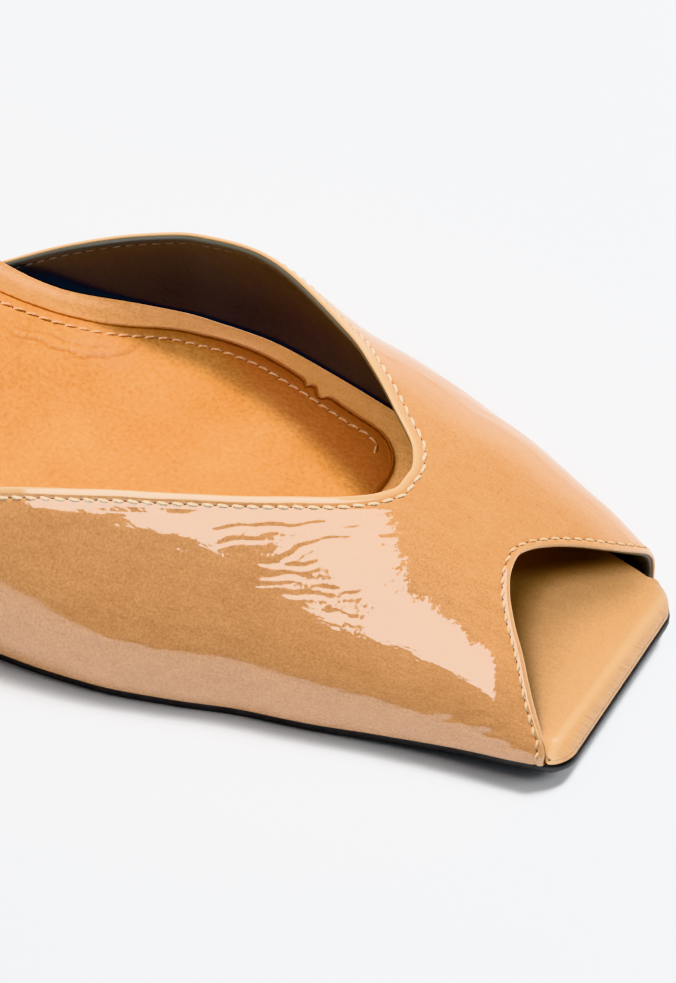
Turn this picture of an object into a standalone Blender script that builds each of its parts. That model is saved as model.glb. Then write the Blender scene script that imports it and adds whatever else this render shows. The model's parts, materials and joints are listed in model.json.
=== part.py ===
"""Slingback sandal, right shoe: square peep toe, cut-away patent vamp, sling strap and low block heel.

The shoe stands on the floor plane z = 0 with its toe towards +X and its lateral (outer) side towards -Y.
Every form is worked out from the last: "back" is the distance behind the front of the toe, "side" the
distance from the last's centre line and "height" the height above the floor, all in millimetres.
"""

import math

import bmesh
import bpy
from mathutils import Vector

MM = 0.001
SHOE = "slingback_sandal"
LATERAL, MEDIAL = -1, 1

# Frame of the last
LENGTH = 256.0           # front of the toe to the back of the heel seat
ORIGIN_BACK = 127.5      # the part's origin lies this far behind the toe,
ORIGIN_SIDE = -0.2       # and this far to the medial side of the centre line
TOE_SKEW = 0.03          # the toe's front edge runs back towards the medial corner
TOE_SKEW_ENDS = 40.0

# Thicknesses and clearances
GAP = 0.3                # between touching pieces
OUTSOLE = 1.8
FOOTBED = 3.5
SOCK = 0.9
UPPER_WALL = 1.6
STRAP_WALL = 2.0
TOP_PIECE = 5.5
SOLE_INSET = 0.5         # the outsole lies this far in under the feather edge

# Ends and corners seen from above
TOE_CORNER = 4.0         # corner radius of the square toe
TOE_LIP = 2.9            # the footbed's corners show in front of this line, the upper's legs behind it
SOCK_FRONT = 52.3        # the sock starts this far behind the toe
SOCK_CORNER = 8.0
HEEL_CENTRE = 228.0      # behind this line the heel seat is half an ellipse
HEEL_BREAST = 208.0      # front face of the heel
BREAST_CORNER = 3.0
REAR_TURN = 80.0         # degrees of the heel seat's half ellipse, either side of its axis

# Height of the sole's underside: toe spring, tread, shank and heel seat
SOLE_LINE = (
    # back, height
    (0.0, 3.0),
    (12.0, 1.9),
    (26.0, 0.8),
    (40.0, 0.15),
    (50.0, 0.0),
    (92.0, 0.0),
    (104.0, 1.6),
    (118.0, 5.2),
    (136.0, 11.3),
    (160.0, 19.8),
    (184.0, 26.2),
    (208.0, 29.6),
    (232.0, 30.6),
    (256.0, 30.8),
)

# Half widths of the last at the feather edge, before the toe corners are rounded
OUTLINE = (
    # back, lateral, medial
    (0.0, 21.2, 18.6),
    (8.0, 22.7, 21.0),
    (16.0, 23.8, 23.4),
    (28.0, 26.3, 27.0),
    (40.0, 29.4, 30.6),
    (50.0, 31.6, 33.0),
    (60.0, 34.8, 35.2),
    (72.0, 37.8, 37.3),
    (84.0, 39.0, 38.9),
    (94.0, 39.2, 38.3),
    (104.0, 38.0, 35.0),
    (116.0, 35.0, 30.2),
    (130.0, 31.4, 26.8),
    (150.0, 28.0, 24.8),
    (175.0, 26.2, 24.8),
    (200.0, 26.8, 26.6),
    (222.0, 28.0, 28.0),
    (256.0, 28.0, 28.0),
)

# Footbed and sock lie inside the outline: beside the upper's wall, then nearly flush at the heel
INSETS = (
    # back, footbed, sock
    (0.0, 0.5, 6.8),
    (2.9, 0.5, 6.8),
    (3.2, 2.9, 6.8),
    (20.0, 2.7, 6.8),
    (40.0, 2.5, 6.8),
    (62.0, 2.4, 6.8),
    (74.0, 2.4, 5.8),
    (88.0, 2.4, 5.2),
    (96.0, 2.4, 5.9),
    (108.0, 2.4, 8.0),
    (152.0, 2.2, 6.8),
    (170.0, 0.8, 4.6),
    (256.0, 0.8, 4.2),
)

# Sections of the upper over the last: two quarter ovals that meet on the crest. A section's fullness is
# how far its corner stands out beyond a plain ellipse, or inside it, as a share of its size.
CREST = (
    # back, height of the crest, its offset to the medial side, lateral fullness, medial fullness
    (0.0, 12.4, 2.0, 0.0, 0.15),
    (6.0, 16.2, 2.0, 0.0, 0.19),
    (12.0, 19.6, 2.0, 0.0, 0.195),
    (19.0, 23.2, 1.5, -0.03, 0.17),
    (28.0, 26.9, 1.0, -0.05, 0.16),
    (39.0, 30.4, 0.5, -0.04, 0.125),
    (50.0, 33.9, 0.5, -0.04, 0.10),
    (62.0, 37.4, 0.8, -0.04, 0.06),
    (78.0, 43.0, 1.0, -0.05, 0.075),
    (94.0, 46.6, 1.0, -0.04, 0.065),
    (110.0, 49.9, 1.0, -0.03, 0.07),
    (130.0, 54.0, 1.0, -0.03, 0.07),
)
LATERAL_LEAN = 0.05      # the lateral wall leans in more below its corner and less above it

# Where the upper's two cut edges cross each line along the shoe. "around" is 0 on the crest, -1 at
# the lateral and 1 at the medial feather edge, in shares of a quarter turn.
CUT_EDGES = (
    # around, toe opening, topline
    (-1.00, 3.5, 129.0),
    (-0.90, 3.5, 122.3),
    (-0.80, 3.9, 114.5),
    (-0.70, 5.3, 105.5),
    (-0.60, 7.1, 93.8),
    (-0.50, 9.1, 79.6),
    (-0.40, 11.4, 66.1),
    (-0.30, 14.5, 53.7),
    (-0.20, 17.1, 44.7),
    (-0.12, 18.4, 40.3),
    (-0.05, 18.8, 38.5),
    (0.02, 17.8, 38.5),
    (0.10, 15.7, 40.1),
    (0.20, 12.4, 46.4),
    (0.30, 9.2, 53.6),
    (0.40, 6.9, 60.8),
    (0.50, 5.7, 73.0),
    (0.60, 5.3, 88.5),
    (0.68, 5.2, 99.4),
    (0.79, 5.2, 112.5),
    (0.87, 5.2, 119.5),
    (1.00, 5.2, 128.8),
)
AROUND_STEPS = 52
ALONG_STEPS = 18

# Sling strap from the sole line at the waist to the middle of the heel. "lean" turns the band's width
# from upright towards the toe and "inward" tips its upper edge towards the leg, in degrees.
SLING = (
    # back, height, lateral side, medial side, lean, inward, width
    (143.0, 16.1, 28.9, 24.9, 109.5, -8.0, 15.0),
    (146.5, 23.0, 29.1, 25.5, 86.0, -4.0, 12.5),
    (154.5, 31.5, 29.2, 26.2, 58.0, 2.0, 10.5),
    (170.0, 42.5, 29.4, 27.4, 37.0, 4.0, 10.0),
    (192.0, 55.0, 29.2, 28.2, 29.0, 6.0, 10.0),
    (218.0, 67.5, 27.0, 26.6, 25.0, 8.0, 10.0),
    (238.0, 75.5, 20.5, 20.5, 18.0, 10.0, 10.0),
    (248.5, 79.0, 11.0, 11.0, 13.0, 12.0, 10.0),
    (251.5, 80.0, 0.0, 0.0, 12.0, 12.0, 10.0),
)
SLING_STEPS = 4          # sections between two rows of the table
STRAP_CHAMFER = 0.5

# The heel narrows from the seat to its top piece
HEEL_AXIS = 236.0        # it shrinks towards this line
HEEL_LEVELS = (
    # share of the height, length scale, width scale
    (0.00, 0.84, 0.80),
    (0.35, 0.85, 0.82),
    (0.70, 0.90, 0.89),
    (1.00, 0.97, 0.96),
)

# Edge profiles, from the lower face to the upper: how far in, how far up (share of the thickness)
SHARP_EDGE = ((0.4, 0.0), (0.0, 0.2), (0.0, 0.85), (0.25, 1.0))
ROLLED_EDGE = ((0.3, 0.0), (0.0, 0.14), (0.0, 0.52), (0.22, 0.74), (0.75, 0.91), (1.7, 1.0))


def joint_slope(before, after):
    """Slope at a table row that never overshoots its neighbours."""
    if before * after <= 0:
        return 0.0
    return 2 * before * after / (before + after)


def column(table, index, at):
    """Smooth value of one column of a table at a place along its first column."""
    if at <= table[0][0]:
        return table[0][index]
    if at >= table[-1][0]:
        return table[-1][index]
    k = max(i for i, row in enumerate(table[:-1]) if row[0] <= at)
    slopes = [
        (table[i + 1][index] - table[i][index]) / (table[i + 1][0] - table[i][0])
        for i in range(max(k - 1, 0), min(k + 2, len(table) - 1))
    ]
    here = slopes[1] if k > 0 else slopes[0]
    start = joint_slope(slopes[0], here) if k > 0 else here
    end = joint_slope(here, slopes[-1]) if k + 2 < len(table) else here
    span = table[k + 1][0] - table[k][0]
    t = (at - table[k][0]) / span
    return (
        (2 * t**3 - 3 * t**2 + 1) * table[k][index]
        + (t**3 - 2 * t**2 + t) * span * start
        + (3 * t**2 - 2 * t**3) * table[k + 1][index]
        + (t**3 - t**2) * span * end
    )


def place(back, side, height):
    """Turn the last's measures into a point of the part."""
    skew = TOE_SKEW * side * max(0.0, 1.0 - back / TOE_SKEW_ENDS)
    return Vector((ORIGIN_BACK - back - skew, side - ORIGIN_SIDE, height)) * MM


def sole_height(back):
    """Height of the sole's underside."""
    return column(SOLE_LINE, 1, back)


def feather_width(back, side):
    """Half width of the last at the feather edge, towards one side."""
    return column(OUTLINE, 1 if side == LATERAL else 2, back)


def upper_point(back, around):
    """Point of the upper's outer face on the section at "back", a half oval over the sole."""
    side = LATERAL if around < 0 else MEDIAL
    foot = sole_height(back) + OUTSOLE + GAP
    rise = column(CREST, 1, back) - foot
    middle = column(CREST, 2, back)
    angle = (1.0 - abs(around)) * math.pi / 2
    fullness = column(CREST, 3 if side == LATERAL else 4, back)
    if side == LATERAL:
        fullness -= LATERAL_LEAN * math.cos(2 * angle)
    oval = 1.0 + fullness * math.sin(2 * angle) ** 2
    reach = feather_width(back, side) - side * middle
    return place(back, middle + side * reach * oval * math.cos(angle), foot + rise * oval * math.sin(angle))


def plan_stations(front, lip, rear):
    """Places along the shoe for an outline: round front corners as far as the lip, a short step behind
    it, the sides, and a round end at the heel."""
    stations = [front + (lip - front) * share for share in (0.0, 0.1, 0.3, 0.6, 1.0)]
    start = lip + GAP
    sides = int((HEEL_CENTRE - start) / 8.0)
    stations += [start + (HEEL_CENTRE - start) * i / sides for i in range(sides + 1)]
    turns = [REAR_TURN * (i + 1) / 8 for i in range(8)]
    return stations + [HEEL_CENTRE + (rear - HEEL_CENTRE) * math.sin(math.radians(a)) for a in turns]


def plan_outline(front, lip, rear, corner, inset):
    """Closed outline as (back, side) pairs: down the lateral side, then up the medial one."""
    def width(back, side):
        wide = feather_width(back, side) - inset(back)
        if back < front + corner:
            wide -= corner - math.sqrt(max(0.0, corner**2 - (front + corner - back) ** 2))
        if back > HEEL_CENTRE:
            wide *= math.sqrt(max(0.0, 1 - ((back - HEEL_CENTRE) / (rear - HEEL_CENTRE)) ** 2))
        return wide

    stations = plan_stations(front, lip, rear)
    lateral = [(back, -width(back, LATERAL)) for back in stations]
    medial = [(back, width(back, MEDIAL)) for back in stations]
    return lateral + medial[::-1]


def ring_solid(name, rings, colour, roughness):
    """Closed solid through rings of points. Each ring runs down one side and back up the other, and the
    first and last are closed by strips between the two sides."""
    mesh = bpy.data.meshes.new(name)
    bm = bmesh.new()
    loops = [[bm.verts.new(point) for point in ring] for ring in rings]
    count = len(rings[0])
    for low, high in zip(loops, loops[1:]):
        for i in range(count):
            j = (i + 1) % count
            bm.faces.new((low[i], low[j], high[j], high[i]))
    for loop in (loops[0], loops[-1]):
        for i in range(count // 2 - 1):
            bm.faces.new((loop[i], loop[i + 1], loop[count - 2 - i], loop[count - 1 - i]))
    bmesh.ops.recalc_face_normals(bm, faces=bm.faces)
    bm.to_mesh(mesh)
    bm.free()
    return finished(name, mesh, colour, roughness)


def finished(name, mesh, colour, roughness):
    """Object of the shoe with smooth shading and its own material."""
    mesh.shade_smooth()
    mesh.set_sharp_from_angle(angle=math.radians(40))
    material = bpy.data.materials.new(name)
    material.use_nodes = True
    shader = material.node_tree.nodes["Principled BSDF"]
    shader.inputs["Base Color"].default_value = (*colour, 1.0)
    shader.inputs["Roughness"].default_value = roughness
    shader.inputs["Metallic"].default_value = 0.0
    mesh.materials.append(material)
    piece = bpy.data.objects.new(name, mesh)
    bpy.data.collections[SHOE].objects.link(piece)
    return piece


def sheet_piece(name, plan, underside, thickness, profile, colour, roughness):
    """Piece of even thickness over the whole of a plan outline, with a shaped edge."""
    rings = []
    for inward, share in profile:
        front, lip, rear, corner, inset = plan
        outline = plan_outline(
            front + inward, lip, rear - inward, corner - inward, lambda back: inset(back) + inward
        )
        rings.append([place(back, side, underside(back) + share * thickness) for back, side in outline])
    return ring_solid(name, rings, colour, roughness)


def make_upper():
    """Hollow patent vamp: a sheet between the toe opening and the topline, thickened inwards."""
    mesh = bpy.data.meshes.new("upper")
    bm = bmesh.new()
    rows = []
    for i in range(AROUND_STEPS + 1):
        around = 2.0 * i / AROUND_STEPS - 1.0
        toe = column(CUT_EDGES, 1, around)
        topline = column(CUT_EDGES, 2, around)
        backs = [toe + (topline - toe) * j / ALONG_STEPS for j in range(ALONG_STEPS + 1)]
        rows.append([bm.verts.new(upper_point(back, around)) for back in backs])
    for row, following in zip(rows, rows[1:]):
        for j in range(ALONG_STEPS):
            bm.faces.new((row[j], following[j], following[j + 1], row[j + 1]))
    bm.to_mesh(mesh)
    bm.free()
    upper = finished("upper", mesh, (0.69, 0.34, 0.13), 0.12)
    wall = upper.modifiers.new("wall", "SOLIDIFY")
    wall.thickness = UPPER_WALL * MM
    wall.offset = -1.0
    wall.use_even_offset = True
    return upper


def make_footbed():
    """Leather-wrapped insole board with a rolled edge. Its front corners stand out flush with the
    upper, whose two legs end just behind them."""
    plan = (0.3, TOE_LIP, LENGTH - 0.8, TOE_CORNER, lambda back: column(INSETS, 1, back))
    return sheet_piece(
        "footbed", plan, lambda back: sole_height(back) + OUTSOLE + GAP, FOOTBED, ROLLED_EDGE,
        (0.72, 0.37, 0.15), 0.15,
    )


def make_sock():
    """Smooth leather insole cover from the ball of the foot to the heel."""
    plan = (
        SOCK_FRONT, SOCK_FRONT + SOCK_CORNER, LENGTH - 4.0, SOCK_CORNER,
        lambda back: column(INSETS, 2, back),
    )
    return sheet_piece(
        "sock", plan, lambda back: sole_height(back) + OUTSOLE + FOOTBED + 2 * GAP, SOCK, SHARP_EDGE,
        (0.70, 0.27, 0.07), 0.45,
    )


def make_outsole():
    """Thin dark leather sole, full length, with toe spring, tread, shank and heel seat."""
    plan = (0.0, TOE_CORNER, LENGTH, TOE_CORNER, lambda back: SOLE_INSET)
    return sheet_piece("outsole", plan, sole_height, OUTSOLE, SHARP_EDGE, (0.018, 0.016, 0.016), 0.4)


def heel_plan(length_scale, width_scale):
    """Outline of the heel, shrunk towards its axis."""
    seat = plan_outline(
        HEEL_BREAST, HEEL_BREAST + BREAST_CORNER, LENGTH - 1.0, BREAST_CORNER, lambda back: 1.0
    )
    return [(HEEL_AXIS + (back - HEEL_AXIS) * length_scale, side * width_scale) for back, side in seat]


def make_heel():
    """Low block heel under the seat, covered in the upper's patent."""
    low = TOP_PIECE + GAP
    rings = []
    for share, *scales in HEEL_LEVELS:
        rings.append([
            place(back, side, low + (sole_height(back) - GAP - low) * share)
            for back, side in heel_plan(*scales)
        ])
    return ring_solid("heel", rings, (0.69, 0.34, 0.13), 0.12)


def make_top_piece():
    """Rubber lift that the heel stands on."""
    outline = heel_plan(*HEEL_LEVELS[0][1:])
    rings = [[place(back, side, height) for back, side in outline] for height in (0.0, TOP_PIECE)]
    return ring_solid("top_piece", rings, (0.02, 0.018, 0.018), 0.6)


def sling_rows():
    """Rows of the strap from the lateral side of the waist round the heel to the medial side."""
    lateral = [(b, h, -lat, lean, tip, w) for b, h, lat, _, lean, tip, w in SLING]
    medial = [(b, h, med, lean, tip, w) for b, h, _, med, lean, tip, w in SLING]
    rows = lateral + medial[-2::-1]
    return tuple((i, *row) for i, row in enumerate(rows))


def make_sling_strap():
    """Strap of the sling: both ends tucked beside the footbed at the waist, its loop behind the heel."""
    rows = sling_rows()
    steps = SLING_STEPS * (len(rows) - 1)
    places = [i / SLING_STEPS for i in range(steps + 1)]
    values = [[column(rows, c, at) for c in range(1, 7)] for at in places]
    centres = [place(back, side, height) for back, height, side, *_ in values]
    thin = STRAP_WALL / 2
    rings = []
    for i, (_, _, side, lean, tip, width) in enumerate(values):
        along = centres[min(i + 1, steps)] - centres[max(i - 1, 0)]
        lean, tip = math.radians(lean), math.radians(tip)
        towards_leg = -max(-1.0, min(1.0, side / 20.0))
        across = Vector((math.sin(lean), math.sin(tip) * towards_leg, math.cos(lean))).normalized()
        outward = along.cross(across).normalized()
        wide = width / 2
        corners = (
            (-wide, thin - STRAP_CHAMFER), (-wide + STRAP_CHAMFER, thin),
            (wide - STRAP_CHAMFER, thin), (wide, thin - STRAP_CHAMFER),
            (wide, -thin + STRAP_CHAMFER), (wide - STRAP_CHAMFER, -thin),
            (-wide + STRAP_CHAMFER, -thin), (-wide, -thin + STRAP_CHAMFER),
        )
        rings.append([centres[i] + (across * a + outward * o) * MM for a, o in corners])
    return ring_solid("sling_strap", rings, (0.69, 0.34, 0.13), 0.12)


def main():
    for old in list(bpy.data.objects):
        bpy.data.objects.remove(old)
    shoe = bpy.data.collections.new(SHOE)
    bpy.context.scene.collection.children.link(shoe)
    make_outsole()
    make_heel()
    make_top_piece()
    make_footbed()
    make_sock()
    make_upper()
    make_sling_strap()


main()
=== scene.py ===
"""Looks of the slingback sandal: patent skin, linings, footbed wrap, sock, sole, heel, strap, stitching.

All forms are worked out in the measures of the last, in millimetres: "back" is the distance behind the
front of the toe, "side" the distance from the last's centre line, "height" the height above the floor.
"""

import json
import math

import bpy
import numpy as np
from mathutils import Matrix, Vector, noise

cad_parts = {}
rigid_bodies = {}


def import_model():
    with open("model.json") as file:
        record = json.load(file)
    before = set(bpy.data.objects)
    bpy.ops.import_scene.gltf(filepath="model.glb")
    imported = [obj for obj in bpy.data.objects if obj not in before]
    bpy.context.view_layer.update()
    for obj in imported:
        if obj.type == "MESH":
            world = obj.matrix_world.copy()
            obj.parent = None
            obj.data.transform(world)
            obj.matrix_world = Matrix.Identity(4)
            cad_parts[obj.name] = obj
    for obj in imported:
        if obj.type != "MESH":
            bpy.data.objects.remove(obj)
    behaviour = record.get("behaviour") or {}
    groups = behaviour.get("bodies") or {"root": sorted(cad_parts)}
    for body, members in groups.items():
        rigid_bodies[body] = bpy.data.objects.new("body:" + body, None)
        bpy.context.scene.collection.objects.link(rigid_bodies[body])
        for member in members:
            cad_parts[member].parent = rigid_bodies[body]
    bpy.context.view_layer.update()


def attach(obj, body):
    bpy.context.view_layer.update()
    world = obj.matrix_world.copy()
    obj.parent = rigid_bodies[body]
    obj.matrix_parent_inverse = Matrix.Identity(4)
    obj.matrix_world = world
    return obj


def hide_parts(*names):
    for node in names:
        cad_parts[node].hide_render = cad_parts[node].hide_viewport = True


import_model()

MM = 0.001
LATERAL, MEDIAL = -1, 1
BODY = "root"

# ---------------------------------------------------------------- the shoe's own measures
LENGTH = 256.0
ORIGIN_BACK = 127.5      # of the part's origin, behind the toe
ORIGIN_SIDE = -0.2
TOE_SKEW = 0.03          # the front edge runs this much aslant
TOE_SKEW_ENDS = 40.0
GAP = 0.3                # between neighbouring pieces
OUTSOLE = 1.8
FOOTBED = 3.5
SOCK = 0.9
STRAP_WALL = 2.0
TOP_PIECE = 5.5
SOLE_INSET = 0.5         # of the outsole, inside the outline
TOE_CORNER = 4.0
TOE_LIP = 2.9            # radius over which the footbed's wrap rolls down at the toe
FOOTBED_FRONT = 0.3
FOOTBED_REAR = LENGTH - 0.8
WRAP_INSET = 0.5         # of the footbed's wrap, at the toe
WRAP_END = 3.2           # behind it the footbed narrows to fit inside the upper
SOCK_FRONT = 52.3
SOCK_REAR = LENGTH - 4.0
SOCK_CORNER = 8.0
SOCK_SINK = 0.2          # the sock lies this much closer on the footbed than the gap
HEEL_CENTRE = 228.0      # of the round of the heel
HEEL_BREAST = 208.0
BREAST_CORNER = 3.0
REAR_TURN = 84.0         # of the round of the heel on each side, in degrees; the rest of it is flat
HEEL_AXIS = 236.0        # the heel tapers towards it
LATERAL_LEAN = 0.05      # the lateral wing is fuller above than below

SOLE_LINE = (
    # back, height
    (0.0, 3.0),
    (12.0, 1.9),
    (26.0, 0.8),
    (40.0, 0.15),
    (50.0, 0.0),
    (92.0, 0.0),
    (104.0, 1.6),
    (118.0, 5.2),
    (136.0, 11.3),
    (160.0, 19.8),
    (184.0, 26.2),
    (208.0, 29.6),
    (232.0, 30.6),
    (256.0, 30.8),
)
OUTLINE = (
    # back, lateral, medial
    (0.0, 21.2, 18.6),
    (8.0, 22.7, 21.0),
    (16.0, 23.8, 23.4),
    (28.0, 26.3, 27.0),
    (40.0, 29.4, 30.6),
    (50.0, 31.6, 33.0),
    (60.0, 34.8, 35.2),
    (72.0, 37.8, 37.3),
    (84.0, 39.0, 38.9),
    (94.0, 39.2, 38.3),
    (104.0, 38.0, 35.0),
    (116.0, 35.0, 30.2),
    (130.0, 31.4, 26.8),
    (150.0, 28.0, 24.8),
    (175.0, 26.2, 24.8),
    (200.0, 26.8, 26.6),
    (222.0, 28.0, 28.0),
    (256.0, 28.0, 28.0),
)
INSETS = (
    # back, footbed, sock
    (0.0, 0.5, 6.8),
    (2.9, 0.5, 6.8),
    (3.2, 2.9, 6.8),
    (20.0, 2.7, 6.8),
    (40.0, 2.5, 6.8),
    (62.0, 2.4, 6.8),
    (74.0, 2.4, 5.8),
    (88.0, 2.4, 5.2),
    (96.0, 2.4, 5.9),
    (108.0, 2.4, 8.0),
    (152.0, 2.2, 6.8),
    (170.0, 0.8, 4.6),
    (256.0, 0.8, 4.2),
)
CREST = (
    # back, height of the crest, its offset to the medial side, lateral fullness, medial fullness
    (0.0, 12.4, 2.0, 0.0, 0.15),
    (6.0, 16.2, 2.0, 0.0, 0.19),
    (12.0, 19.6, 2.0, 0.0, 0.195),
    (19.0, 23.2, 1.5, -0.03, 0.17),
    (28.0, 26.9, 1.0, -0.05, 0.16),
    (39.0, 30.4, 0.5, -0.04, 0.125),
    (50.0, 33.9, 0.5, -0.04, 0.10),
    (62.0, 37.4, 0.8, -0.04, 0.06),
    (78.0, 43.0, 1.0, -0.05, 0.075),
    (94.0, 46.6, 1.0, -0.04, 0.065),
    (110.0, 49.9, 1.0, -0.03, 0.07),
    (130.0, 54.0, 1.0, -0.03, 0.07),
)
CUT_EDGES = (
    # around, toe opening, topline
    (-1.00, 3.5, 129.0),
    (-0.90, 3.5, 122.3),
    (-0.80, 3.9, 114.5),
    (-0.70, 5.3, 105.5),
    (-0.60, 7.1, 93.8),
    (-0.50, 9.1, 79.6),
    (-0.40, 11.4, 66.1),
    (-0.30, 14.5, 53.7),
    (-0.20, 17.1, 44.7),
    (-0.12, 18.4, 40.3),
    (-0.05, 18.8, 38.5),
    (0.02, 17.8, 38.5),
    (0.10, 15.7, 40.1),
    (0.20, 12.4, 46.4),
    (0.30, 9.2, 53.6),
    (0.40, 6.9, 60.8),
    (0.50, 5.7, 73.0),
    (0.60, 5.3, 88.5),
    (0.68, 5.2, 99.4),
    (0.79, 5.2, 112.5),
    (0.87, 5.2, 119.5),
    (1.00, 5.2, 128.8),
)
SLING = (
    # back, height, lateral side, medial side, lean, inward, width
    (143.0, 16.1, 28.9, 24.9, 109.5, -8.0, 15.0),
    (146.5, 23.0, 29.1, 25.5, 86.0, -4.0, 12.5),
    (154.5, 31.5, 29.2, 26.2, 58.0, 2.0, 10.5),
    (170.0, 42.5, 29.4, 27.4, 37.0, 4.0, 10.0),
    (192.0, 55.0, 29.2, 28.2, 29.0, 6.0, 10.0),
    (218.0, 67.5, 27.0, 26.6, 25.0, 8.0, 10.0),
    (238.0, 75.5, 20.5, 20.5, 18.0, 10.0, 10.0),
    (248.5, 79.0, 11.0, 11.0, 13.0, 12.0, 10.0),
    (251.5, 80.0, 0.0, 0.0, 12.0, 12.0, 10.0),
)
HEEL_LEVELS = (
    # share of the height, length scale, width scale
    (0.00, 0.84, 0.80),
    (0.35, 0.85, 0.82),
    (0.70, 0.90, 0.89),
    (1.00, 0.97, 0.96),
)

# ---------------------------------------------------------------- leather work, in millimetres
SKIN = 0.6               # patent leather, folded round its edges
WALL = 1.5               # with its lining
THROAT_INSET = 1.7       # from a cut edge to its row of stitches
TOE_INSET = 1.2
STRAP_INSET = 2.0
GIRTH = 52.0             # of half the vamp, on average
STRAP_RIM = 0.75         # radius of the strap's edges
SOCK_STITCH_INSET = 2.1
LINING_INSET = 1.2
STITCHES = {
    # pitch, length, thickness, slant (degrees), rise over the leather
    "throat_stitches": (2.3, 2.1, 0.54, -9.0, 0.17),
    "lining_stitches": (2.3, 2.2, 0.30, 4.0, 0.03),
    "toe_stitches": (1.95, 1.6, 0.48, -14.0, 0.13),
    "sock_stitches": (2.15, 2.3, 0.46, 9.0, 0.18),
    "strap_stitches_upper": (2.3, 1.9, 0.54, 10.0, 0.10),
    "strap_stitches_lower": (2.3, 1.9, 0.54, -10.0, 0.10),
}

# Creases of the patent: beside the throat, where it gives with each step, near the toe and on the medial side
CREASES = (
    # back, around, half length, turn from the shoe's length (degrees), half width, depth
    (56.0, -0.42, 3.2, 35.0, 0.36, 0.026),
    (55.6, -0.46, 2.6, 30.0, 0.34, 0.026),
    (58.5, -0.44, 2.4, 28.0, 0.36, 0.020),
    (51.8, -0.49, 4.0, 5.0, 0.42, 0.036),
    (50.4, -0.37, 3.8, 30.0, 0.42, 0.040),
    (50.2, -0.56, 1.6, 38.0, 0.34, 0.026),
    (47.8, -0.51, 4.6, 20.0, 0.42, 0.034),
    (47.2, -0.42, 3.1, 47.0, 0.40, 0.040),
    (45.6, -0.45, 2.2, 33.0, 0.36, 0.040),
    (45.6, -0.55, 1.9, 22.0, 0.40, 0.022),
    (43.8, -0.30, 3.8, 25.0, 0.42, 0.044),
    (43.0, -0.34, 2.8, 42.0, 0.34, 0.034),
    (42.0, -0.53, 2.0, 8.0, 0.40, 0.026),
    (40.8, -0.49, 2.3, 1.0, 0.34, 0.036),
    (38.2, -0.26, 2.6, 12.0, 0.40, 0.044),
    (37.8, -0.48, 1.3, 40.0, 0.30, 0.034),
    (37.6, -0.56, 2.4, 13.0, 0.42, 0.026),
    (37.2, -0.59, 1.9, -15.0, 0.34, 0.026),
    (72.0, -0.52, 4.0, 24.0, 0.90, 0.022),
    (80.0, -0.60, 5.0, 18.0, 1.10, 0.024),
    (66.0, -0.56, 4.5, 28.0, 0.90, 0.022),
    (16.0, -0.82, 5.0, 62.0, 0.9, 0.070),
    (19.0, -0.84, 5.0, 62.0, 0.9, 0.060),
    (12.5, -0.84, 4.0, 60.0, 0.8, 0.060),
    (9.0, -0.86, 3.5, 60.0, 0.7, 0.050),
    (67.0, -0.80, 8.0, 4.0, 1.2, 0.045),
    (45.0, 0.55, 8.0, -24.0, 1.4, 0.060),
    (40.0, 0.50, 7.0, -20.0, 1.2, 0.050),
    (33.0, 0.47, 7.0, -16.0, 1.2, 0.045),
)

# Wrinkles of the sock where the arch of the foot has pressed it
SOCK_CREASES = (
    # back, side, half length, turn (degrees), half width, depth
    (115.1, 15.4, 2.8, 21.0, 0.42, 0.13),
    (109.7, 16.9, 3.6, 12.0, 0.42, 0.16),
    (104.8, 18.7, 2.5, 35.0, 0.45, 0.17),
    (101.6, 22.4, 3.2, 63.0, 0.45, 0.13),
    (110.8, 18.4, 3.2, -11.0, 0.38, 0.12),
    (115.4, 16.9, 3.2, 17.0, 0.38, 0.11),
    (108.6, 19.6, 3.0, 16.0, 0.36, 0.10),
    (112.6, 20.4, 2.6, 4.0, 0.36, 0.09),
    (105.2, 20.8, 2.0, 44.0, 0.36, 0.09),
    (116.6, 18.6, 2.6, 12.0, 0.36, 0.08),
    (71.5, 25.0, 2.2, 12.0, 0.36, 0.06),
    (68.5, 23.8, 1.8, 18.0, 0.34, 0.06),
    (57.6, 24.4, 1.6, 30.0, 0.34, 0.07),
)

# Swells and hollows of the vamp: leather never lies quite as the last does
SWELLS = (
    # back, around, half length, half girth, height
    (19.0, -0.60, 13.0, 11.0, 0.65),
    (11.0, -0.32, 10.0, 9.0, -0.30),
    (24.0, -0.14, 10.0, 9.0, -0.30),
    (30.0, -0.35, 9.0, 7.0, 0.40),
    (38.0, -0.47, 9.0, 9.0, -0.40),
    (43.0, -0.14, 10.0, 8.0, 0.45),
    (57.0, -0.38, 12.0, 10.0, -0.25),
    (61.0, -0.78, 10.0, 9.0, -0.10),
    (68.0, -0.61, 12.0, 11.0, -0.40),
    (82.0, -0.48, 11.0, 10.0, 0.05),
)


def column(table, index, at):
    """Smooth values of one column of a table, never beyond its rows."""
    rows = np.array([(row[0], row[index]) for row in table])
    x, y = rows[:, 0], rows[:, 1]
    slope = np.diff(y) / np.diff(x)
    product = slope[:-1] * slope[1:]
    total = np.where(product > 0, slope[:-1] + slope[1:], 1.0)
    joints = np.concatenate([slope[:1], np.where(product > 0, 2 * product / total, 0.0), slope[-1:]])
    at = np.clip(np.asarray(at, dtype=float), x[0], x[-1])
    k = np.clip(np.searchsorted(x, at, side="right") - 1, 0, len(x) - 2)
    span = x[k + 1] - x[k]
    t = (at - x[k]) / span
    return (
        (2 * t**3 - 3 * t**2 + 1) * y[k]
        + (t**3 - 2 * t**2 + t) * span * joints[k]
        + (3 * t**2 - 2 * t**3) * y[k + 1]
        + (t**3 - t**2) * span * joints[k + 1]
    )


def rise(value, start, length):
    """0 as far as the start, then evenly up to 1 within the length."""
    return np.clip((value - start) / length, 0.0, 1.0)


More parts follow.
